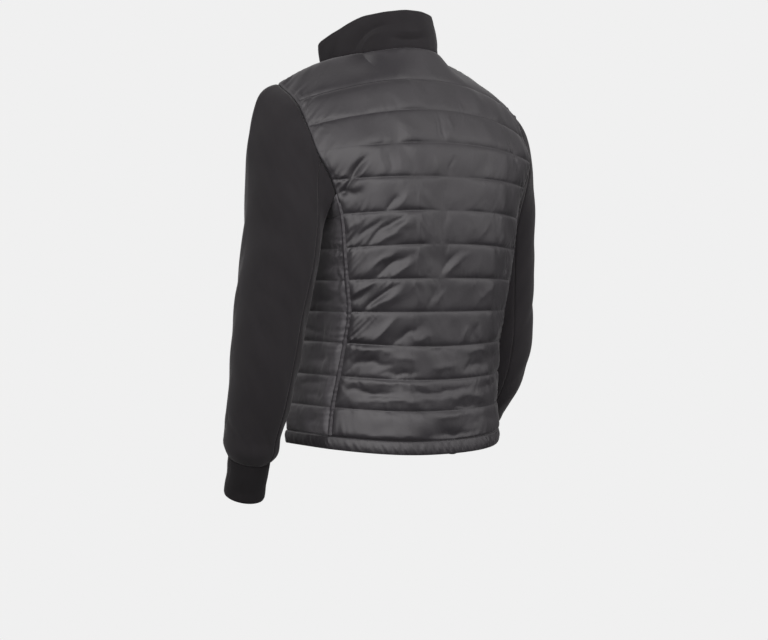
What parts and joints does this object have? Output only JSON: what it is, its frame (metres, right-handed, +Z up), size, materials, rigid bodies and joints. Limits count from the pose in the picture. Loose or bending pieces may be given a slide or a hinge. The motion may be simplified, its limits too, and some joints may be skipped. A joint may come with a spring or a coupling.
{
  "type": "quilted jacket",
  "caption": "Black quilted jacket with plain softshell sleeves, stand collar, narrow bound hem and a front zip, empty and held in its worn form.",
  "frame": {"origin": "middle of the neck opening, level with the points where the shoulder seams meet the collar, where the jacket hangs from the shoulders", "axes": "+Z up, -Y out of the jacket's front, +X to the wearer's left"},
  "size_m": [0.6257, 0.3477, 0.8369],
  "materials": {
    "quilted_nylon": "soft sheen",
    "softshell": "matte",
    "cuff_knit": "matte knit",
    "zip_tape_cloth": "matte woven",
    "painted_zinc": "satin black"
  },
  "bodies": {
    "jacket": {"back_panel": "quilted_nylon", "collar": "softshell", "cuff_left": "cuff_knit", "cuff_right": "cuff_knit", "front_left": "quilted_nylon", "front_right": "quilted_nylon", "hem_binding": "quilted_nylon", "seam_strap_left": "quilted_nylon", "seam_strap_right": "quilted_nylon", "side_panel_left": "quilted_nylon", "side_panel_right": "quilted_nylon", "top_sleeve_left": "softshell", "top_sleeve_right": "softshell", "under_sleeve_left": "softshell", "under_sleeve_right": "softshell", "zip_slider": "painted_zinc", "zip_tape_left": "zip_tape_cloth", "zip_tape_right": "zip_tape_cloth"},
    "pull_tab": {"zip_pull_tab": "painted_zinc"}
  },
  "joints": [
    {"name": "pull_tab_hinge", "type": "hinge", "parent": "jacket", "child": "pull_tab", "pos_m": [0, -0.14787, -0.22625], "axis": [-1, 0, 0], "range_deg": [0, 150]}
  ]
}
